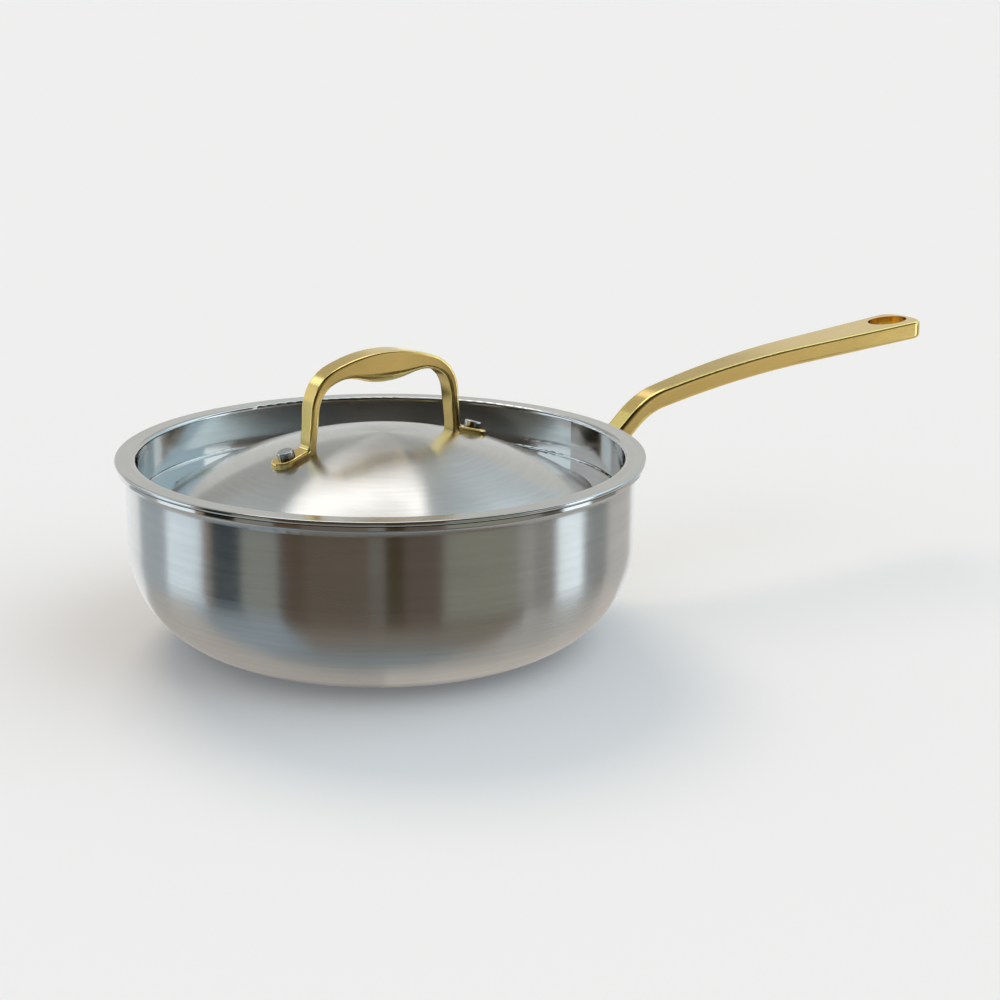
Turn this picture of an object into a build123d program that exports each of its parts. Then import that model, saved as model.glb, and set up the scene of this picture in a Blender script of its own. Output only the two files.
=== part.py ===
from build123d import *
from math import asin, cos, degrees, radians, sin, sqrt, tan
import os

# A saucier pan with a recessed lid, in millimetres.
# The origin is the centre of the base on the floor, +Z is up and the long handle runs along +X.

# Pan wall: one sheet of bonded layers, drawn into a round-bottomed bowl with a flared lip. Radii
# are to the outer face.
wall_radius = 115.2
pan_height = 83.4
base_bend_radius = 46.0
wall_thickness = 2.6
lip_flare_radius = 4.0
lip_edge_height = 1.4

# Lid: one drawn sheet, with a hemmed flange round a recess that has a domed floor
lid_sheet = 1.0
lid_flange_overhang = 0.8
lid_wall_clearance = 1.3
lid_seat_gap = 0.3
hem_width = 4.6
hem_edge_radius = 0.9
recess_depth = 20.0
ledge_width = 13.3
dome_rise = 28.4
flange_bend_radius = 0.8
crease_radius = 1.0
dome_edge_radius = 4.0

# Lid handle: an arched strap on two feet, which swells to a grip in the middle
grip_height = 46.3
crown_radius = 72.0
crown_half_angle = 22.0
shoulder_radius = 20.0
leg_lean = 5.0
leg_depth = 3.8
leg_width = 9.0
grip_depth = 14.3
grip_width = 12.2
strap_edge_radius = 1.2
grip_under_radius = 5.0
foot_spread = 49.7
foot_thickness = 2.5
foot_width = 12.0
foot_overhang = 7.5
foot_edge_radius = 0.8
leg_root_radius = 2.5

# Long handle: a cast bar that leaves the pan steeply, bends over and widens to its end
neck_root_drop = 7.6
neck_length = 39.8
neck_angle = 40.7
neck_bend_radius = 46.5
neck_thickness = 8.4
back_angle = 11.5
back_radius = 690.0
back_thickness = 9.4
tail_angle = 3.6
handle_length = 234.0
neck_width = 12.6
neck_plan_length = 41.8
neck_blend_radius = 60.0
tail_width = 28.6
tail_bulge = 4.0
tail_corner_radius = 8.0
handle_edge_radius = 2.2
hang_hole_length = 25.0
hang_hole_width = 16.6
hang_hole_rim = 4.2
hang_hole_edge_radius = 0.9

# Mounting pad of the long handle, a plate that follows the wall
pad_thickness = 3.2
pad_rim_gap = 12.0
pad_top_width = 46.0
pad_bottom_width = 15.0
pad_corner_radius = 6.5
pad_edge_radius = 1.0
pad_root_radius = 2.0

# Rivets of the long handle: two beside the neck and one below it
pan_rivet_radius = 3.0
pan_rivet_head_radius = 4.8
pan_rivet_head_height = 1.8
pan_rivet_head_edge = 0.8
pan_rivet_spread = 30.0
upper_rivet_inset = 10.0
lower_rivet_inset = 9.0
neck_rivet_gap = 4.5

# Rivets of the lid handle
lid_rivet_radius = 2.4
lid_rivet_head_radius = 3.9
lid_rivet_head_height = 3.0
lid_rivet_tail_height = 1.2
lid_rivet_head_edge = 0.7

# How far a cut or a buried root runs past its neighbour, and how near counts as touching
overrun = 6.0
touch = 0.05

# The strap in equal steps from the middle of the grip down to a foot. Each row holds shares: its
# width and its depth between leg and grip, and the rounding of its underside between the edge
# radius and the grip's.
strap_shares = [
    (1.00, 1.00, 1.00),
    (1.00, 0.95, 0.93),
    (0.95, 0.79, 0.72),
    (0.85, 0.52, 0.40),
    (0.74, 0.29, 0.16),
    (0.62, 0.20, 0.07),
    (0.50, 0.11, 0.03),
    (0.38, 0.05, 0.00),
    (0.27, 0.02, 0.00),
    (0.17, 0.01, 0.00),
    (0.08, 0.00, 0.00),
    (0.00, 0.00, 0.00),
    (0.00, 0.00, 0.00),
]

base_flat_radius = wall_radius - base_bend_radius
lip_radius = wall_radius + lip_flare_radius
flare_height = pan_height - lip_edge_height - lip_flare_radius

hem_thickness = 2 * lid_sheet
flange_height = pan_height + lid_seat_gap + hem_thickness
lid_wall_outer = wall_radius - wall_thickness - lid_wall_clearance
lid_wall_inner = lid_wall_outer - lid_sheet
lid_flange_radius = lip_radius + lid_flange_overhang
dome_radius = lid_wall_inner - ledge_width
ledge_height = flange_height - recess_depth
dome_apex = ledge_height + dome_rise
dome_sphere_radius = (dome_radius**2 + dome_rise**2) / (2 * dome_rise)
dome_centre_height = dome_apex - dome_sphere_radius

grip_top = flange_height + grip_height
foot_tilt = degrees(asin(foot_spread / dome_sphere_radius))
foot_tip_centre = foot_spread + foot_overhang - foot_width / 2

handle_reach = wall_radius + handle_length
tail_reach = handle_reach - tail_bulge
neck_end_reach = wall_radius + neck_plan_length
pad_top_height = flare_height - pad_rim_gap
neck_root_height = pad_top_height - neck_root_drop
neck_heel_height = neck_root_height - neck_thickness / cos(radians(neck_angle))
hang_hole_reach = handle_reach - hang_hole_rim - hang_hole_length / 2
root_length = neck_thickness + overrun
upper_rivet_height = pad_top_height - upper_rivet_inset
lower_rivet_height = neck_heel_height - neck_rivet_gap - pan_rivet_head_radius
pad_bottom_height = lower_rivet_height - lower_rivet_inset


def wall_band(outer_depth, inner_depth):
    """Half section of the pan wall between two depths below its outer face."""
    with BuildSketch(Plane.XZ) as section:
        with BuildLine():
            starts, ends = [], []
            for depth in (outer_depth, inner_depth):
                base = Line((0, depth), (base_flat_radius, depth))
                bend = CenterArc((base_flat_radius, base_bend_radius), base_bend_radius - depth, -90, 90)
                Line(bend @ 1, (wall_radius - depth, flare_height))
                flare = CenterArc((lip_radius, flare_height), lip_flare_radius + depth, 180, -90)
                starts.append(base @ 0)
                ends.append(flare @ 1)
            Line(*starts)
            Line(*ends)
        make_face()
        with Locations((0, pan_height)):
            Rectangle(
                lip_radius + overrun,
                pan_height + overrun,
                align=(Align.MIN, Align.MAX),
                mode=Mode.INTERSECT,
            )
    return section.sketch


def dome_height(radius, rise=0):
    """Height of the dome's upper face at a radius, or of the face that lies a rise above it."""
    return dome_centre_height + sqrt((dome_sphere_radius + rise) ** 2 - radius**2)


def dome_band(lower_rise, upper_rise):
    """Half section of a shell that follows the dome between two rises above its upper face."""
    with BuildSketch(Plane.XZ) as section:
        with BuildLine():
            starts, ends = [], []
            for rise in (lower_rise, upper_rise):
                points = [(r, dome_height(r, rise)) for r in (0, dome_radius / 2, dome_radius)]
                arc = ThreePointArc(*points)
                starts.append(arc @ 0)
                ends.append(arc @ 1)
            Line(*starts)
            Line(*ends)
        make_face()
    return section.sketch


def wall_seat(azimuth, height, drop):
    """Plane on the wall's outer face, facing out. A drop turns it down round the base bend."""
    reach = base_flat_radius + base_bend_radius * cos(radians(drop))
    height -= base_bend_radius * sin(radians(drop))
    out = Vector(cos(radians(drop)), 0, -sin(radians(drop)))
    return Plane(
        origin=Vector(reach, 0, height).rotate(Axis.Z, azimuth),
        z_dir=out.rotate(Axis.Z, azimuth),
    )


def dome_seat(side):
    """Plane on the dome's upper face at one foot of the lid handle, facing out."""
    tilt = radians(foot_tilt)
    return Plane(
        origin=(side * foot_spread, 0, dome_height(foot_spread)),
        z_dir=(side * sin(tilt), 0, cos(tilt)),
    )


upper_rivet_azimuth = degrees(asin(pan_rivet_spread / 2 / wall_radius))
lower_rivet_sink = max(0, base_bend_radius - lower_rivet_height)
lower_rivet_drop = degrees(asin(lower_rivet_sink / base_bend_radius))
pan_rivet_seats = {
    "handle_rivet_left": wall_seat(upper_rivet_azimuth, upper_rivet_height, 0),
    "handle_rivet_right": wall_seat(-upper_rivet_azimuth, upper_rivet_height, 0),
    "handle_rivet_lower": wall_seat(0, lower_rivet_height + lower_rivet_sink, lower_rivet_drop),
}
lid_rivet_seats = {
    "lid_rivet_near": dome_seat(1),
    "lid_rivet_far": dome_seat(-1),
}

os.makedirs("parts", exist_ok=True)

# Pan: the drawn wall, pierced by the long handle's rivets
with BuildPart() as pan_body:
    add(wall_band(0, wall_thickness))
    revolve(axis=Axis.Z)
    for seat in pan_rivet_seats.values():
        with BuildSketch(seat):
            Circle(pan_rivet_radius)
        extrude(amount=-wall_thickness - overrun, mode=Mode.SUBTRACT)
pan_body.part.label = "pan_body"
export_step(pan_body.part, "parts/pan_body.step")

# Blanks of the whole pan, of the wall with its pad and of the dome, which shape what sits on them
with BuildPart() as pan_blank:
    with BuildSketch(Plane.XZ):
        with BuildLine():
            Line((0, 0), (base_flat_radius, 0))
            CenterArc((base_flat_radius, base_bend_radius), base_bend_radius, -90, 90)
            Polyline((wall_radius, base_bend_radius), (wall_radius, flare_height), (0, flare_height), (0, 0))
        make_face()
    revolve(axis=Axis.Z)

with BuildPart() as padded_wall_blank:
    add(wall_band(-pad_thickness, wall_thickness))
    revolve(axis=Axis.Z)

with BuildPart() as dome_blank:
    add(dome_band(-recess_depth, 0))
    revolve(axis=Axis.Z)

with BuildPart() as footed_dome_blank:
    add(dome_band(-lid_sheet, foot_thickness))
    revolve(axis=Axis.Z)

# Rivets of the long handle: a shank through wall and pad, with a head on each side
for rivet_name, seat in pan_rivet_seats.items():
    with BuildPart() as rivet:
        with BuildSketch(seat.offset(-wall_thickness - pan_rivet_head_height)):
            Circle(pan_rivet_head_radius)
        extrude(amount=wall_thickness + pad_thickness + 2 * pan_rivet_head_height)
        fillet(rivet.edges().filter_by(GeomType.CIRCLE), pan_rivet_head_edge)
        add(padded_wall_blank.part, mode=Mode.SUBTRACT)
        with BuildSketch(seat.offset(-wall_thickness - pan_rivet_head_height / 2)):
            Circle(pan_rivet_radius)
        extrude(amount=wall_thickness + pad_thickness + pan_rivet_head_height)
    rivet.part.label = rivet_name
    export_step(rivet.part, f"parts/{rivet_name}.step")


def handle_edge(neck_depth, back_depth):
    """Upper face of the long handle from its root to past its end, or a line below that face."""
    rise = radians(neck_angle)
    root = Vector(wall_radius - root_length * cos(rise), neck_root_height - root_length * sin(rise))
    start = root + Vector(neck_depth * sin(rise), -neck_depth * cos(rise))
    cut_short = (back_depth - neck_depth) / tan(radians(neck_angle - back_angle))
    neck = PolarLine(start, root_length + neck_length - cut_short, neck_angle)
    bend = JernArc(neck @ 1, neck % 1, neck_bend_radius - back_depth, back_angle - neck_angle)
    back = JernArc(bend @ 1, bend % 1, back_radius - back_depth, tail_angle - back_angle)
    tail = Line(back @ 1, back @ 1 + (back % 1) * ((handle_reach + overrun - (back @ 1).X) / (back % 1).X))
    return neck @ 0, tail @ 1


# Bar of the long handle: its side profile cut to its outline from above
with BuildPart() as bar:
    with BuildSketch(Plane.XZ):
        with BuildLine():
            upper_root, upper_end = handle_edge(0, 0)
            lower_root, lower_end = handle_edge(neck_thickness, back_thickness)
            Line(upper_root, lower_root)
            Line(upper_end, lower_end)
        make_face()
    extrude(amount=tail_width, both=True)
    with BuildSketch() as outline:
        with BuildLine():
            ThreePointArc((tail_reach, -tail_width / 2), (handle_reach, 0), (tail_reach, tail_width / 2))
            Polyline(
                (tail_reach, tail_width / 2),
                (neck_end_reach, neck_width / 2),
                (base_flat_radius, neck_width / 2),
                (base_flat_radius, -neck_width / 2),
                (neck_end_reach, -neck_width / 2),
                (tail_reach, -tail_width / 2),
            )
        make_face()
        fillet(outline.vertices().group_by(Axis.X)[-1], tail_corner_radius)
        fillet(outline.vertices().group_by(Axis.X)[1], neck_blend_radius)
    extrude(amount=2 * grip_top, mode=Mode.INTERSECT)
    long_edges = bar.edges() - bar.edges().filter_by(Axis.Y) - bar.edges().filter_by(Axis.Z)
    fillet(long_edges, handle_edge_radius)
    with BuildSketch() as hang_hole:
        with Locations((hang_hole_reach, 0)):
            Ellipse(hang_hole_length / 2, hang_hole_width / 2)
    extrude(amount=2 * grip_top, mode=Mode.SUBTRACT)
    add(pan_blank.part, mode=Mode.SUBTRACT)

    hole_rims = bar.edges().sort_by_distance((hang_hole_reach, 0, flange_height))[:2]
    fillet(hole_rims, hang_hole_edge_radius)


def on_pad_by_neck(point):
    """Whether a point lies on the pad's outer face and within the width of the neck."""
    above_pad = sqrt(point.X**2 + point.Y**2) - wall_radius - pad_thickness
    return abs(above_pad) < touch and abs(point.Y) < neck_width / 2 + touch


# Long handle: the bar and the pad that seats it on the wall, one casting
with BuildPart() as long_handle:
    with BuildSketch(Plane.YZ) as shield:
        with BuildLine():
            Polyline(
                (-pad_top_width / 2, pad_top_height),
                (pad_top_width / 2, pad_top_height),
                (pad_bottom_width / 2, pad_bottom_height),
                (-pad_bottom_width / 2, pad_bottom_height),
                close=True,
            )
        make_face()
        fillet(shield.vertices(), pad_corner_radius)
    extrude(amount=lip_radius)
    add(wall_band(-pad_thickness, 0))
    revolve(axis=Axis.Z, mode=Mode.INTERSECT)
    outer_faces = long_handle.faces().sort_by(Axis.X)[-1:]
    fillet(outer_faces[0].edges(), pad_edge_radius)
    add(bar.part)
    junction = [e for e in long_handle.edges() if all(on_pad_by_neck(v) for v in e.vertices())]
    fillet(junction, pad_root_radius)
    for seat in pan_rivet_seats.values():
        with BuildSketch(seat):
            Circle(pan_rivet_radius)
        extrude(amount=pad_thickness + overrun, both=True, mode=Mode.SUBTRACT)
long_handle.part.label = "long_handle"
export_step(long_handle.part, "parts/long_handle.step")

# Outer face of the lid handle's strap, from the crown down one leg, drawn in plan
with BuildLine() as strap_rail:
    crown = JernArc((0, grip_top), (1, 0), crown_radius, -crown_half_angle)
    shoulder = JernArc(crown @ 1, crown % 1, shoulder_radius, crown_half_angle + leg_lean - 90)
    leg_drop = (shoulder @ 1).Y - dome_height(foot_spread)
    leg = Line(shoulder @ 1, shoulder @ 1 + (shoulder % 1) * (leg_drop / cos(radians(leg_lean))))
strap_wire = strap_rail.wires()[0]
heel_centre = (leg @ 1).X - leg_depth + leg_width / 2

# Corner between a leg's outer face and the top of its foot, and where its rounding starts and ends
heel = leg @ 1
corner_reach = heel.X - (dome_height(heel.X, foot_thickness) - heel.Y) * tan(radians(leg_lean))
corner = Vector(corner_reach, dome_height(corner_reach, foot_thickness))
foot_slope = asin(corner_reach / (dome_sphere_radius + foot_thickness))
root_setback = leg_root_radius / tan((radians(90 + leg_lean) + foot_slope) / 2)
root_top = corner - (leg % 1) * root_setback
root_toe = corner + Vector(cos(foot_slope), -sin(foot_slope)) * root_setback


def strap_section(side, step, width_share, depth_share, under_share):
    """Section of the strap on one side of the crown, square to its outer face."""
    along = step / (len(strap_shares) - 1)
    place = strap_wire @ along
    way = strap_wire % along
    width = leg_width + (grip_width - leg_width) * width_share
    depth = leg_depth + (grip_depth - leg_depth) * depth_share
    under_radius = strap_edge_radius + (grip_under_radius - strap_edge_radius) * under_share
    plane = Plane(origin=(side * place.X, 0, place.Y), x_dir=(0, 1, 0), z_dir=(way.X, 0, side * way.Y))
    with BuildSketch(plane) as section:
        Rectangle(width, depth, align=(Align.CENTER, Align.MAX))
        fillet(section.vertices().group_by(Axis.Y)[0], under_radius)
        fillet(section.vertices().group_by(Axis.Y)[-1], strap_edge_radius)
    return section.sketch


# Lid shell: the sheet's section, turned about the axis
under_rim = sqrt((dome_sphere_radius - lid_sheet) ** 2 - (ledge_height - lid_sheet - dome_centre_height) ** 2)
with BuildPart() as lid_shell:
    with BuildSketch(Plane.XZ) as lid_section:
        with BuildLine():
            upper = ThreePointArc(*[(r, dome_height(r)) for r in (0, dome_radius / 2, dome_radius)])
            under = ThreePointArc(*[(r, dome_height(r, -lid_sheet)) for r in (0, under_rim / 2, under_rim)])
            Line(upper @ 0, under @ 0)
            Polyline(
                upper @ 1,
                (lid_wall_inner, ledge_height),
                (lid_wall_inner, flange_height),
                (lid_flange_radius, flange_height),
                (lid_flange_radius, flange_height - hem_thickness),
                (lid_flange_radius - hem_width, flange_height - hem_thickness),
                (lid_flange_radius - hem_width, flange_height - lid_sheet),
                (lid_wall_outer, flange_height - lid_sheet),
                (lid_wall_outer, ledge_height - lid_sheet),
                under @ 1,
            )
        make_face()
        bends = [
            (upper @ 1, dome_edge_radius),
            (under @ 1, dome_edge_radius + lid_sheet),
            ((lid_wall_inner, ledge_height), crease_radius),
            ((lid_wall_outer, ledge_height - lid_sheet), crease_radius + lid_sheet),
            ((lid_wall_inner, flange_height), flange_bend_radius + lid_sheet),
            ((lid_wall_outer, flange_height - lid_sheet), flange_bend_radius),
            ((lid_flange_radius, flange_height), hem_edge_radius),
            ((lid_flange_radius, flange_height - hem_thickness), hem_edge_radius),
        ]
        for corner, radius in bends:
            fillet(lid_section.vertices().sort_by_distance(corner)[0], radius)
    revolve(axis=Axis.Z)
    for seat in lid_rivet_seats.values():
        with BuildSketch(seat):
            Circle(lid_rivet_radius)
        extrude(amount=overrun, both=True, mode=Mode.SUBTRACT)
lid_shell.part.label = "lid_shell"
export_step(lid_shell.part, "parts/lid_shell.step")

# Feet of the lid handle: tapered ovals that follow the dome
with BuildPart() as feet:
    for side in (-1, 1):
        with BuildSketch(Plane.XY.offset(ledge_height)):
            with Locations((side * foot_tip_centre, 0)):
                Circle(foot_width / 2)
            with Locations((side * heel_centre, 0)):
                Circle(leg_width / 2)
            make_hull()
    extrude(amount=dome_rise)
    add(dome_band(0, foot_thickness))
    revolve(axis=Axis.Z, mode=Mode.INTERSECT)
    for top in feet.faces().filter_by(GeomType.SPHERE).sort_by(Axis.Z)[-2:]:
        fillet(top.edges(), foot_edge_radius)

# Lid handle: the strap lofted from foot to foot, with its feet seated on the dome
with BuildPart() as lid_handle:
    for step in reversed(range(1, len(strap_shares))):
        add(strap_section(-1, step, *strap_shares[step]))
    for step, shares in enumerate(strap_shares):
        add(strap_section(1, step, *shares))
    loft()
    with BuildSketch(Plane.XZ) as root:
        with BuildLine():
            Polyline(root_top, heel, root_toe)
            TangentArc(root_top, root_toe, tangent=leg % 1)
        make_face()
        mirror(about=Plane.YZ)
    extrude(amount=leg_width / 2 - strap_edge_radius, both=True)
    add(dome_blank.part, mode=Mode.SUBTRACT)
    add(feet.part)
    for seat in lid_rivet_seats.values():
        with BuildSketch(seat):
            Circle(lid_rivet_radius)
        extrude(amount=foot_thickness + overrun, both=True, mode=Mode.SUBTRACT)
lid_handle.part.label = "lid_handle"
export_step(lid_handle.part, "parts/lid_handle.step")

# Rivets of the lid handle: a shank through sheet and foot, with a tall head above
for rivet_name, seat in lid_rivet_seats.items():
    with BuildPart() as rivet:
        with BuildSketch(seat.offset(-lid_sheet - lid_rivet_tail_height)):
            Circle(lid_rivet_head_radius)
        extrude(amount=lid_rivet_tail_height + lid_sheet + foot_thickness + lid_rivet_head_height)
        fillet(rivet.edges().filter_by(GeomType.CIRCLE), lid_rivet_head_edge)
        add(footed_dome_blank.part, mode=Mode.SUBTRACT)
        with BuildSketch(seat.offset(-lid_sheet - lid_rivet_tail_height / 2)):
            Circle(lid_rivet_radius)
        extrude(amount=lid_sheet + foot_thickness + lid_rivet_tail_height)
    rivet.part.label = rivet_name
    export_step(rivet.part, f"parts/{rivet_name}.step")
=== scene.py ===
"""The looks of the saucier pan: metals, floor, studio light and camera. Lengths are in metres."""

import math

import bpy
from mathutils import Matrix, Vector

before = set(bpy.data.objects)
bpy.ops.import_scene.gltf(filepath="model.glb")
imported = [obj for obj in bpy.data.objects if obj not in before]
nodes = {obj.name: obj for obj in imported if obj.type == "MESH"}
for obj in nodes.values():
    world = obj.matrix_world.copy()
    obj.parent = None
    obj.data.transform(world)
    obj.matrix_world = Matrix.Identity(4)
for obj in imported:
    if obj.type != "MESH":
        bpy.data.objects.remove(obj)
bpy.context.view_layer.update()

# ---- camera, at the photograph's viewing angle ----
CAMERA_PLACE = (-0.4808, -0.7264, 0.3021)
CAMERA_RIGHT = (0.7996, -0.6003, 0.0089)
CAMERA_UP = (0.1526, 0.2177, 0.9640)
CAMERA_LENS = 70.92
CAMERA_SENSOR = 36
CAMERA_CLIP = (0.01, 200)
# where the camera stands round the pan's axis, in degrees from +X
CAMERA_AZIMUTH = -123.5

# ---- metals ----
STEEL = (0.62, 0.61, 0.59)
LID_STEEL = (0.64, 0.63, 0.61)
# painted shade: the colour that steel is darkened towards in narrow gaps
STEEL_GAP_SHADE = (0.06, 0.055, 0.05)
CHROME = (0.60, 0.60, 0.59)
CHROME_EDGE = (0.9, 0.9, 0.89)
# painted shade: the colour that chrome is darkened towards in narrow gaps
CHROME_GAP_SHADE = (0.03, 0.025, 0.02)
BRASS = (0.98, 0.715, 0.25)
BRASS_CLOUD = (BRASS[0] * 0.95, BRASS[1] * 0.92, BRASS[2] * 0.86)
BRASS_EDGE = (0.97, 0.80, 0.52)
# painted shade: the colour that brass is darkened towards in narrow gaps and under the lid handle's
# belly
BRASS_GAP_SHADE = (0.10, 0.055, 0.01)

# brushing: noise steps along the turn, and across it in each metre
FINE_GRAIN = (16, 7000)
MIDDLE_GRAIN = (7, 2600)
COARSE_GRAIN = (1.9, 380)
# noise steps in each metre
STEEL_BLOTCH_SCALE = 26
BRASS_GRAIN_SCALE = 1800
BRASS_CLOUD_SCALE = 45
BRASS_PIT_SCALE = 2600
CHROME_MARK_SCALE = 1500
CHROME_CLOUD_SCALE = 160

# rubbed edges: reach, and how strongly they are rubbed
STEEL_WEAR = (0.0007, 6.0)
BRASS_WEAR = (0.0012, 5.0)
CHROME_WEAR = (0.0006, 5.0)
# painted shade in gaps, from ambient occlusion: reach, openness of a shut gap, openness that is
# free, share of painted shade in a shut gap
STEEL_SHADE_IN_GAPS = (0.0025, 0.15, 0.6, 0.8)
PAN_SHADE_IN_GAPS = (0.009, 0.15, 0.94, 0.8)
BRASS_SHADE_IN_GAPS = (0.030, 0.15, 0.62, 0.85)
CHROME_SHADE_IN_GAPS = (0.005, 0.3, 0.95, 0.95)
RAY_SAMPLES = 6

# the parts of a noise's range that are used: for roughness, for tone, and for soft clouds
ROUGH_SPAN = (0.3, 0.7)
TONE_SPAN = (0.35, 0.65)
CLOUD_SPAN = (0.35, 0.7)
PATCH_SPAN = (0.4, 0.75)
SMUDGE_SPAN = (0.4, 0.7)
# roughness from the grain, what clouds add to it, and the share of it that a rubbed edge keeps
BRASS_ROUGH = (0.15, 0.18)
CHROME_ROUGH = (0.08, 0.15)
CLOUD_ROUGH = (-0.02, 0.03)
SMUDGE_ROUGH = (0.0, 0.05)
STEEL_EDGE_ROUGH = 0.7
BRASS_EDGE_ROUGH = 0.45
# how far patches and rubbed edges change the tone, at most
STEEL_PATCH = 0.25
BRASS_PATCH = 0.3
EDGE_TINT = 0.5
# bump: strength and height
STEEL_BUMP = (0.025, 0.0002)
BRASS_BUMP = (0.008, 0.0002)
CHROME_BUMP = (0.02, 0.0001)

# radii from the pan's axis at which the finish changes
RECESS_FROM = 0.0968
FLANGE_FROM = 0.1117
LID_EDGE_FROM = 0.1192
PAN_RIM_FROM = 0.1158
OUTSIDE = 1.0

# ---- studio ----
BACKGROUND = (0.863, 0.863, 0.863)
FLOOR_COLOUR = (0.735, 0.727, 0.716)
# painted light: the floor's own faint glow, which lightens its shadow
FLOOR_GLOW = (0.128, 0.136, 0.144)
FLOOR_HALF = 30.0
FLOOR_PATCH_SCALE = 3.0
FLOOR_PATCH = 0.4
SKY_LIGHT = (0.58, 0.585, 0.59)
SUN_COLOUR = (1.0, 0.85, 0.69)
SUN_STRENGTH = 1.17
SUN_ANGLE = 28
SUN_FROM = (0.27, 0.96, 0.98)
FILL_COLOUR = (0.70, 0.88, 1.0)
FILL_STRENGTH = 1.0
FILL_ANGLE = 70
FILL_FROM = (0.725, -0.688, 1.0)
CARD_REACH = 8.0
CARD_STEP = 4
PANEL_HEIGHT = 3.6


def clear_tree(tree):
    for node in list(tree.nodes):
        tree.nodes.remove(node)


def shade(colour, share):
    """The colour made darker or lighter by a share."""
    return tuple(min(1.0, c * share) for c in colour)


class Shader:
    """A material's node tree, built a node at a time."""

    MIX_SHARE, MIX_FIRST, MIX_SECOND, MIX_RESULT = 0, 6, 7, 2

    def __init__(self, name):
        self.material = bpy.data.materials.new(name)
        self.material.use_nodes = True
        self.tree = self.material.node_tree
        clear_tree(self.tree)

    def node(self, kind, values=(), **settings):
        made = self.tree.nodes.new("ShaderNode" + kind)
        for name, value in settings.items():
            setattr(made, name, value)
        for name, value in dict(values).items():
            self.put(value, made.inputs[name])
        return made

    def put(self, value, socket):
        if isinstance(value, bpy.types.NodeSocket):
            self.tree.links.new(value, socket)
        elif isinstance(value, bpy.types.Node):
            self.tree.links.new(value.outputs[0], socket)
        elif socket.type == "RGBA" and len(value) == 3:
            socket.default_value = (*value, 1)
        else:
            socket.default_value = value

    def maths(self, operation, first, second=0.0, clamp=False):
        made = self.node("Math", {0: first, 1: second}, operation=operation)
        made.use_clamp = clamp
        return made.outputs[0]

    def vector(self, operation, first, second=(0, 0, 0)):
        made = self.node("VectorMath", {0: first, 1: second}, operation=operation)
        return made.outputs[0]

    def ramp(self, value, span, to=(0.0, 1.0), smooth=True):
        """The value's way through a span, as a way from one number to another."""
        made = self.node("MapRange", {"Value": value})
        for end, number in zip(("From Min", "From Max", "To Min", "To Max"), (*span, *to)):
            self.put(number, made.inputs[end])
        made.interpolation_type = "SMOOTHSTEP" if smooth else "LINEAR"
        return made.outputs["Result"]

    def mix(self, share, first, second):
        made = self.node("Mix", data_type="RGBA", blend_type="MIX")
        self.put(share, made.inputs[self.MIX_SHARE])
        self.put(first, made.inputs[self.MIX_FIRST])
        self.put(second, made.inputs[self.MIX_SECOND])
        return made.outputs[self.MIX_RESULT]

    def blend(self, first, share, second):
        """A share of the first value, and the rest of it from the second."""
        return self.maths(
            "ADD",
            self.maths("MULTIPLY", first, share),
            self.maths("MULTIPLY", second, round(1.0 - share, 6)),
        )

    def rubbed(self, rough, edge, kept):
        """The roughness, brought down to a kept share of it on rubbed edges."""
        return self.maths("MULTIPLY", rough, self.ramp(edge, (0.0, 1.0), (1.0, kept)))

    def noise(self, vector, scale=1.0, detail=2.0, roughness=0.5):
        made = self.node(
            "TexNoise",
            {"Vector": vector, "Scale": scale, "Detail": detail, "Roughness": roughness},
        )
        return made.outputs["Fac"]

    def bump(self, height, strength, distance):
        made = self.node("Bump", {"Strength": strength, "Distance": distance, "Height": height})
        return made.outputs[0]

    def metal(self, tone, rough, bump, more=()):
        values = {"Base Color": tone, "Metallic": 1.0, "Roughness": rough, "Normal": bump}
        values.update(more)
        return self.finish(self.node("BsdfPrincipled", values).outputs[0])

    def finish(self, shader):
        out = self.node("OutputMaterial")
        self.tree.links.new(shader, out.inputs["Surface"])
        return self.material


def round_places(s, arc_sign):
    """The place, its heading from the pan's axis, and how far it lies across the brushing."""
    place = s.node("TexCoord").outputs["Object"]
    parts = s.node("SeparateXYZ", {0: place})
    flat = s.node("CombineXYZ", {0: parts.outputs[0], 1: parts.outputs[1]}).outputs[0]
    radius = s.node("VectorMath", {0: flat}, operation="LENGTH").outputs["Value"]
    heading = s.vector("NORMALIZE", flat)
    arc = s.maths("ADD", radius, s.maths("MULTIPLY", parts.outputs[2], arc_sign))
    return place, heading, arc


def brushed_grain(s, heading, arc, steps, detail=3.0):
    """Noise drawn out round the axis: long streaks along the turn, fine across it."""
    along, across = steps
    turn = s.node("VectorMath", {0: heading, 3: along}, operation="SCALE").outputs[0]
    lift = s.node("CombineXYZ", {2: s.maths("MULTIPLY", arc, across)}).outputs[0]
    return s.noise(s.vector("ADD", turn, lift), detail=detail, roughness=0.6)


def edge_share(s, reach, gain):
    """How near a point is to an edge, from 0 to 1: there a bevelled normal leaves the real one."""
    bevel = s.node("Bevel", {"Radius": reach}, samples=RAY_SAMPLES).outputs[0]
    normal = s.node("NewGeometry").outputs["Normal"]
    alike = s.node("VectorMath", {0: bevel, 1: normal}, operation="DOT_PRODUCT").outputs["Value"]
    return s.maths("MULTIPLY", s.maths("SUBTRACT", 1.0, alike), gain, clamp=True)


def painted_shade_share(s, reach, shut, free, most):
    """The share of painted shade, from most in a narrow gap down to 0 where it is free."""
    seen = s.node("AmbientOcclusion", {"Distance": reach}, samples=RAY_SAMPLES).outputs["AO"]
    return s.ramp(seen, (shut, free), (most, 0.0), smooth=False)


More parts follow.
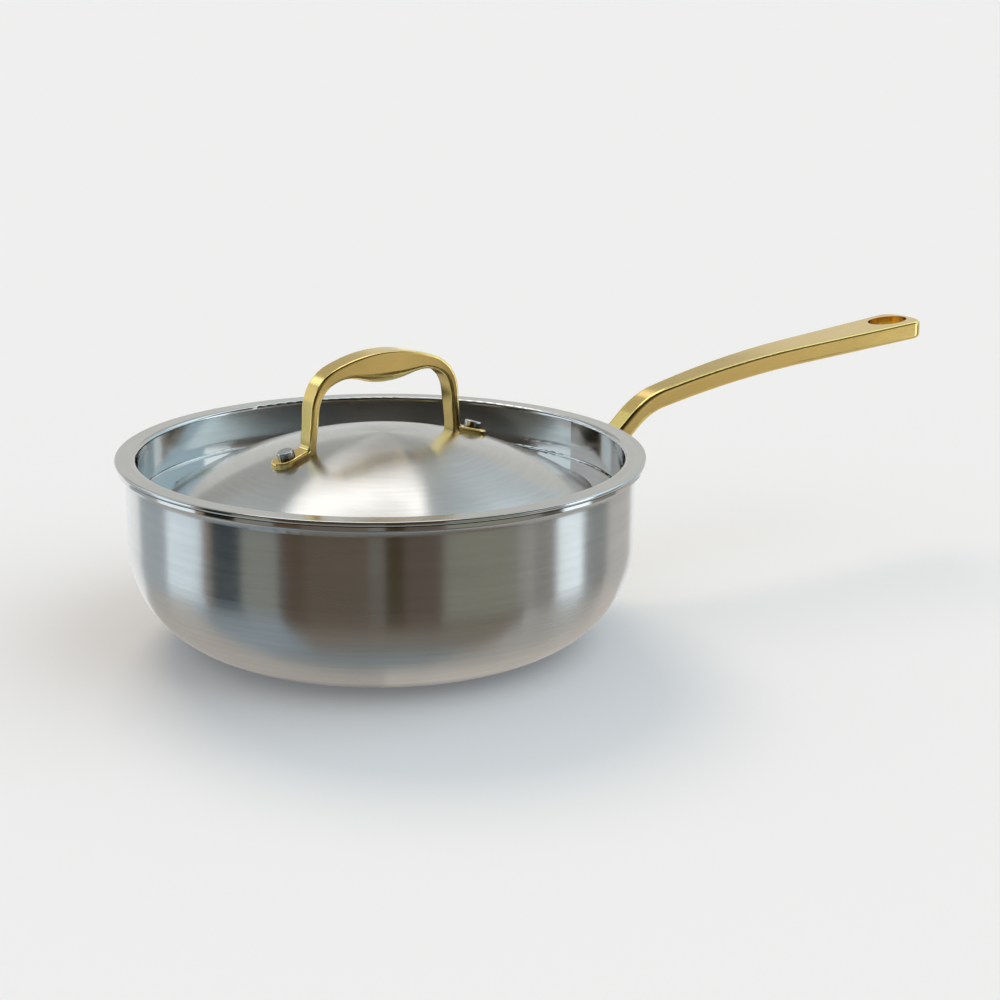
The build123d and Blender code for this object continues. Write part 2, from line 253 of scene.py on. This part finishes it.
def turned_steel(name, colour, arc_sign, roughness, anisotropy, shade_in_gaps=STEEL_SHADE_IN_GAPS):
    """Steel brushed in rounds about the pan's axis."""
    s = Shader(name)
    place, heading, arc = round_places(s, arc_sign)
    fine = brushed_grain(s, heading, arc, FINE_GRAIN)
    middle = brushed_grain(s, heading, arc, MIDDLE_GRAIN)
    coarse = brushed_grain(s, heading, arc, COARSE_GRAIN, detail=2.0)
    blotch = s.noise(place, scale=STEEL_BLOTCH_SCALE, detail=3.0)
    grain = s.blend(fine, 0.5, middle)

    edge = edge_share(s, *STEEL_WEAR)
    rough = s.ramp(grain, ROUGH_SPAN, roughness, smooth=False)
    rough = s.maths("ADD", rough, s.ramp(blotch, CLOUD_SPAN, CLOUD_ROUGH))
    rough = s.rubbed(rough, edge, STEEL_EDGE_ROUGH)

    light = shade(colour, 1.04)
    streak = s.ramp(s.blend(grain, 0.6, coarse), TONE_SPAN)
    tone = s.mix(streak, shade(colour, 0.95), light)
    tone = s.mix(s.ramp(blotch, PATCH_SPAN, (0.0, STEEL_PATCH)), tone, shade(colour, 0.93))
    tone = s.mix(s.maths("MULTIPLY", edge, EDGE_TINT), tone, light)
    # painted shade: darker towards the gap colour where ambient occlusion finds a narrow gap
    tone = s.mix(painted_shade_share(s, *shade_in_gaps), tone, STEEL_GAP_SHADE)

    bump = s.bump(s.blend(grain, 0.85, coarse), *STEEL_BUMP)
    tangent = s.node("Tangent", direction_type="RADIAL", axis="Z").outputs[0]
    brushing = {
        "Anisotropic": anisotropy,
        "Anisotropic Rotation": 0.25,
        "Tangent": tangent,
    }
    return s.metal(tone, rough, bump, brushing)


def satin_brass(name, stretch):
    """Satin brass with a fine grain drawn out by stretch, and edges rubbed bright."""
    s = Shader(name)
    place = s.node("TexCoord").outputs["Object"]
    drawn = s.node("VectorMath", {0: place, 1: stretch}, operation="MULTIPLY").outputs[0]
    grain = s.noise(drawn, scale=BRASS_GRAIN_SCALE, detail=3.0, roughness=0.5)
    cloud = s.noise(place, scale=BRASS_CLOUD_SCALE, detail=3.0)
    pits = s.noise(place, scale=BRASS_PIT_SCALE, detail=2.0)
    edge = edge_share(s, *BRASS_WEAR)

    rough = s.ramp(grain, ROUGH_SPAN, BRASS_ROUGH, smooth=False)
    rough = s.maths("ADD", rough, s.ramp(cloud, CLOUD_SPAN, CLOUD_ROUGH))
    rough = s.rubbed(rough, edge, BRASS_EDGE_ROUGH)

    tone = s.mix(s.ramp(grain, TONE_SPAN), shade(BRASS, 0.95), BRASS)
    tone = s.mix(s.ramp(cloud, PATCH_SPAN, (0.0, BRASS_PATCH)), tone, BRASS_CLOUD)
    tone = s.mix(s.maths("MULTIPLY", edge, EDGE_TINT), tone, BRASS_EDGE)
    # painted shade: darker towards the gap colour where ambient occlusion finds a narrow gap
    tone = s.mix(painted_shade_share(s, *BRASS_SHADE_IN_GAPS), tone, BRASS_GAP_SHADE)

    return s.metal(tone, rough, s.bump(s.blend(grain, 0.6, pits), *BRASS_BUMP))


def chrome(name):
    """Polished steel of the rivets, with fine handling marks."""
    s = Shader(name)
    place = s.node("TexCoord").outputs["Object"]
    marks = s.noise(place, scale=CHROME_MARK_SCALE, detail=3.0, roughness=0.6)
    cloud = s.noise(place, scale=CHROME_CLOUD_SCALE, detail=2.0)
    edge = edge_share(s, *CHROME_WEAR)

    rough = s.ramp(marks, ROUGH_SPAN, CHROME_ROUGH)
    rough = s.maths("ADD", rough, s.ramp(cloud, SMUDGE_SPAN, SMUDGE_ROUGH))

    tone = s.mix(s.ramp(marks, TONE_SPAN), shade(CHROME, 0.92), shade(CHROME, 1.05))
    tone = s.mix(s.maths("MULTIPLY", edge, EDGE_TINT), tone, CHROME_EDGE)
    # painted shade: darker towards the gap colour where ambient occlusion finds a narrow gap
    tone = s.mix(painted_shade_share(s, *CHROME_SHADE_IN_GAPS), tone, CHROME_GAP_SHADE)

    return s.metal(tone, rough, s.bump(marks, *CHROME_BUMP))


def dress(name, material):
    """The node keeps its CAD mesh and gets this material."""
    materials = nodes[name].data.materials
    materials.clear()
    materials.append(material)


def zone(name, material, low, high):
    """Faces of a node between two radii from the pan's axis get a finish of their own."""
    mesh = nodes[name].data
    mesh.materials.append(material)
    for face in mesh.polygons:
        if low <= math.hypot(face.center.x, face.center.y) < high:
            face.material_index = len(mesh.materials) - 1


# the pan's longer reach paints shade into the neck under the rim
pan_steel = turned_steel("pan_steel_look", STEEL, 1.0, (0.20, 0.26), 0.95, PAN_SHADE_IN_GAPS)
pan_rim = turned_steel("pan_rim_look", STEEL, 1.0, (0.10, 0.14), 0.3)
lid_dome = turned_steel("lid_dome_look", LID_STEEL, -1.0, (0.18, 0.22), 0.95)
lid_recess = turned_steel("lid_recess_look", LID_STEEL, -1.0, (0.09, 0.13), 0.5)
lid_flange = turned_steel("lid_flange_look", LID_STEEL, -1.0, (0.16, 0.21), 0.2)
lid_edge = turned_steel("lid_edge_look", LID_STEEL, -1.0, (0.09, 0.13), 0.2)
handle_brass = satin_brass("handle_brass_look", (0.08, 1.0, 1.0))
lid_handle_brass = satin_brass("lid_handle_brass_look", (0.25, 1.0, 0.4))
rivet_chrome = chrome("rivet_look")

# node: its look and its slot
DRESS = {
    "pan_body": (pan_steel, "pan_steel"),
    "long_handle": (handle_brass, "handle_brass"),
    "lid_shell": (lid_dome, "lid_steel"),
    "lid_handle": (lid_handle_brass, "lid_handle_brass"),
    "handle_rivet_left": (rivet_chrome, "rivet_steel"),
    "handle_rivet_right": (rivet_chrome, "rivet_steel"),
    "handle_rivet_lower": (rivet_chrome, "rivet_steel"),
    "lid_rivet_near": (rivet_chrome, "lid_rivet_steel"),
    "lid_rivet_far": (rivet_chrome, "lid_rivet_steel"),
}
for node_name, (look, _) in DRESS.items():
    dress(node_name, look)

zone("lid_shell", lid_recess, RECESS_FROM, FLANGE_FROM)
zone("lid_shell", lid_flange, FLANGE_FROM, LID_EDGE_FROM)
zone("lid_shell", lid_edge, LID_EDGE_FROM, OUTSIDE)
zone("pan_body", pan_rim, PAN_RIM_FROM, OUTSIDE)


def link(obj):
    bpy.context.scene.collection.objects.link(obj)
    return obj


def mesh_object(name, corners, faces):
    mesh = bpy.data.meshes.new(name)
    mesh.from_pydata(corners, [], faces)
    return link(bpy.data.objects.new(name, mesh))


def glow(name, colour):
    s = Shader(name)
    return s.finish(s.node("Emission", {"Color": colour, "Strength": 1.0}).outputs[0])


def hang_in_studio(name, corners, faces, light):
    """A glowing sheet that only the metals mirror."""
    sheet = mesh_object(name, corners, faces)
    sheet.data.materials.append(glow(name + "_glow", light))
    sheet.visible_camera = False
    sheet.visible_diffuse = False
    sheet.visible_shadow = False
    sheet.visible_transmission = False
    sheet.visible_volume_scatter = False


def card(name, start, end, low, high, light):
    """A curved card, part of a sphere about the pan. Its angles are in degrees, from the camera's
    direction, positive to the image's right, and above the horizon."""
    across = max(1, round(abs(end - start) / CARD_STEP))
    rows = max(1, round((high - low) / CARD_STEP))
    corners, faces = [], []
    for j in range(rows + 1):
        rise = math.radians(low + (high - low) * j / rows)
        flat, up = CARD_REACH * math.cos(rise), CARD_REACH * math.sin(rise)
        for i in range(across + 1):
            turn = math.radians(CAMERA_AZIMUTH + start + (end - start) * i / across)
            corners.append((flat * math.cos(turn), flat * math.sin(turn), up))
    for j in range(rows):
        for i in range(across):
            a = j * (across + 1) + i
            faces.append((a, a + 1, a + across + 2, a + across + 1))
    hang_in_studio(name, corners, faces, light)


# name, from and to round the pan, from and to above the horizon, light
CARDS = [
    ("left_gap", -136, -109, -24, 4, (0.44, 0.51, 0.55)),
    ("left_gap_upper", -136, -109, 4, 26, (0.70, 0.74, 0.78)),
    ("left_softbox", -109, -85, -20, 26, (1.10, 1.30, 1.44)),
    ("left_softbox_foot", -109, -85, -24, -20, (0.45, 0.51, 0.54)),
    ("left_stand", -85, -80, -24, 26, (0.32, 0.26, 0.20)),
    ("left_flag", -80, -64, -24, 26, (0.015, 0.02, 0.02)),
    ("left_wall", -64, -46, -24, 26, (0.27, 0.27, 0.23)),
    ("front_dark", -46, -34, -28, -4, (0.12, 0.08, 0.05)),
    ("front_left", -34, -6, -28, -4, (0.17, 0.14, 0.11)),
    ("front_middle", -6, 1, -28, -4, (0.22, 0.21, 0.19)),
    ("front_flag", 1, 9, -28, -4, (0.06, 0.045, 0.02)),
    ("front_right", 9, 26, -28, -4, (0.15, 0.12, 0.10)),
    ("front_upper", -46, 26, -4, 26, (0.035, 0.026, 0.014)),
    ("right_wall", 26, 60, -28, 26, (0.30, 0.31, 0.26)),
    ("right_edge", 60, 70, -28, -13, (0.28, 0.28, 0.27)),
    ("right_side", 70, 82, -24, -13, (0.08, 0.08, 0.085)),
    ("right_side_upper", 60, 82, -13, 26, (0.52, 0.50, 0.47)),
    ("right_softbox", 82, 99, -20, 26, (1.46, 1.66, 1.80)),
    ("right_softbox_foot", 82, 99, -24, -20, (0.45, 0.51, 0.54)),
    ("right_gap", 99, 119, -24, 4, (0.29, 0.30, 0.30)),
    ("right_back", 119, 150, -24, 4, (0.60, 0.59, 0.57)),
    ("right_back_upper", 99, 150, 4, 26, (0.58, 0.80, 0.94)),
    ("back_low", 150, 224, -24, 4, (1.00, 1.02, 1.04)),
    ("back_upper_right", 150, 168, 4, 26, (0.66, 0.67, 0.65)),
    ("back_upper", 168, 224, 4, 20, (0.66, 0.67, 0.65)),
    ("left_high", -136, -122, 26, 80, (1.15, 1.45, 1.60)),
    ("right_high", 110, 140, 26, 80, (1.10, 1.40, 1.56)),
    ("right_back_high", 140, 168, 26, 50, (0.60, 0.66, 0.69)),
    ("right_back_top", 140, 168, 50, 80, (0.44, 0.47, 0.48)),
    ("back_high", 168, 224, 20, 80, (0.44, 0.45, 0.44)),
    ("front_canopy", -122, 110, 26, 48, (0.13, 0.12, 0.10)),
    ("front_canopy_top", -122, 110, 48, 80, (0.02, 0.014, 0.004)),
    ("zenith", -180, 180, 80, 90, (0.30, 0.30, 0.30)),
    ("ground_left", -180, -100, -90, -24, (0.56, 0.53, 0.49)),
    ("ground_near_left", -100, -46, -60, -24, (0.33, 0.40, 0.455)),
    ("ground_front_dark", -46, 70, -38, -28, (0.15, 0.125, 0.10)),
    ("ground_front", -46, 70, -60, -38, (0.26, 0.23, 0.19)),
    ("ground_under", -100, 70, -90, -60, (0.26, 0.31, 0.345)),
    ("ground_right", 70, 122, -90, -24, (0.50, 0.50, 0.48)),
    ("ground_back", 122, 180, -90, -24, (0.68, 0.64, 0.59)),
]
for row in CARDS:
    card(*row)


def ceiling_panel(name, near, far, light):
    """A flat panel overhead, behind the pan as the camera sees it. Two of them draw the fan on the
    lid's dome. Each end is (way out, left side, right side), in lengths of one metre."""
    turn = math.radians(CAMERA_AZIMUTH + 180)
    ahead = Vector((math.cos(turn), math.sin(turn)))
    corners = []
    for out, aside in ((near[0], near[2]), (near[0], near[1]), (far[0], far[1]), (far[0], far[2])):
        corners.append(
            (out * ahead.x - aside * ahead.y, out * ahead.y + aside * ahead.x, PANEL_HEIGHT)
        )
    hang_in_studio(name, corners, [(0, 1, 2, 3)], light)


# name, near end, far end, light
PANELS = [
    ("ceiling_softbox_near", (1.1, 1.6, -0.62), (2.9, 1.35, -0.62), (1.95, 1.94, 1.90)),
    ("ceiling_softbox_far", (2.9, 1.05, -0.62), (5.2, 1.0, -0.62), (1.10, 1.09, 1.06)),
]
for row in PANELS:
    ceiling_panel(*row)


def make_floor():
    """A pale floor that takes the shadow, with a faint glow of its own that lightens the shadow:
    painted light.
    """
    corners = [
        (-FLOOR_HALF, -FLOOR_HALF, 0),
        (FLOOR_HALF, -FLOOR_HALF, 0),
        (FLOOR_HALF, FLOOR_HALF, 0),
        (-FLOOR_HALF, FLOOR_HALF, 0),
    ]
    floor = mesh_object("floor", corners, [(0, 1, 2, 3)])
    s = Shader("floor_look")
    place = s.node("TexCoord").outputs["Object"]
    soft = s.noise(place, scale=FLOOR_PATCH_SCALE, detail=2.0)
    patch = s.ramp(soft, ROUGH_SPAN, (0.0, FLOOR_PATCH))
    tone = s.mix(patch, FLOOR_COLOUR, shade(FLOOR_COLOUR, 0.995))
    pale = s.node("BsdfDiffuse", {"Color": tone}).outputs[0]
    # painted light: the floor glows faintly so that its shadow is lighter
    floor_glow = s.node("Emission", {"Color": FLOOR_GLOW, "Strength": 1.0}).outputs[0]
    floor.data.materials.append(s.finish(s.node("AddShader", {0: pale, 1: floor_glow}).outputs[0]))
    floor.visible_glossy = False


def make_world():
    """The camera, gloss and glass see the pale background; everything else gets the sky's light."""
    world = bpy.data.worlds.new("studio")
    bpy.context.scene.world = world
    world.use_nodes = True
    tree = world.node_tree
    clear_tree(tree)
    path = tree.nodes.new("ShaderNodeLightPath")
    share = path.outputs["Is Camera Ray"]
    for ray in ("Is Glossy Ray", "Is Transmission Ray"):
        either = tree.nodes.new("ShaderNodeMath")
        either.operation = "MAXIMUM"
        tree.links.new(share, either.inputs[0])
        tree.links.new(path.outputs[ray], either.inputs[1])
        share = either.outputs[0]
    seen = tree.nodes.new("ShaderNodeMix")
    seen.data_type = "RGBA"
    seen.inputs[Shader.MIX_FIRST].default_value = (*SKY_LIGHT, 1)
    seen.inputs[Shader.MIX_SECOND].default_value = (*BACKGROUND, 1)
    tree.links.new(share, seen.inputs[Shader.MIX_SHARE])
    background = tree.nodes.new("ShaderNodeBackground")
    tree.links.new(seen.outputs[Shader.MIX_RESULT], background.inputs["Color"])
    out = tree.nodes.new("ShaderNodeOutputWorld")
    tree.links.new(background.outputs[0], out.inputs["Surface"])


def make_sun(name, colour, strength, angle, toward):
    lamp = bpy.data.lights.new(name, "SUN")
    lamp.energy = strength
    lamp.color = colour
    lamp.angle = math.radians(angle)
    sun = link(bpy.data.objects.new(name, lamp))
    sun.rotation_mode = "QUATERNION"
    sun.rotation_quaternion = Vector(toward).to_track_quat("Z", "Y")
    sun.visible_glossy = False


def make_camera():
    lens = bpy.data.cameras.new("camera")
    lens.sensor_width = CAMERA_SENSOR
    lens.lens = CAMERA_LENS
    lens.clip_start, lens.clip_end = CAMERA_CLIP
    camera = link(bpy.data.objects.new("camera", lens))
    right, up = Vector(CAMERA_RIGHT).normalized(), Vector(CAMERA_UP)
    up = (up - right * up.dot(right)).normalized()
    back = right.cross(up)
    turn = Matrix((right, up, back)).transposed()
    camera.matrix_world = Matrix.Translation(CAMERA_PLACE) @ turn.to_4x4()
    bpy.context.scene.camera = camera


make_floor()
make_world()
make_sun("sun", SUN_COLOUR, SUN_STRENGTH, SUN_ANGLE, SUN_FROM)
make_sun("fill", FILL_COLOUR, FILL_STRENGTH, FILL_ANGLE, FILL_FROM)
make_camera()

bpy.context.scene.view_settings.view_transform = "Standard"
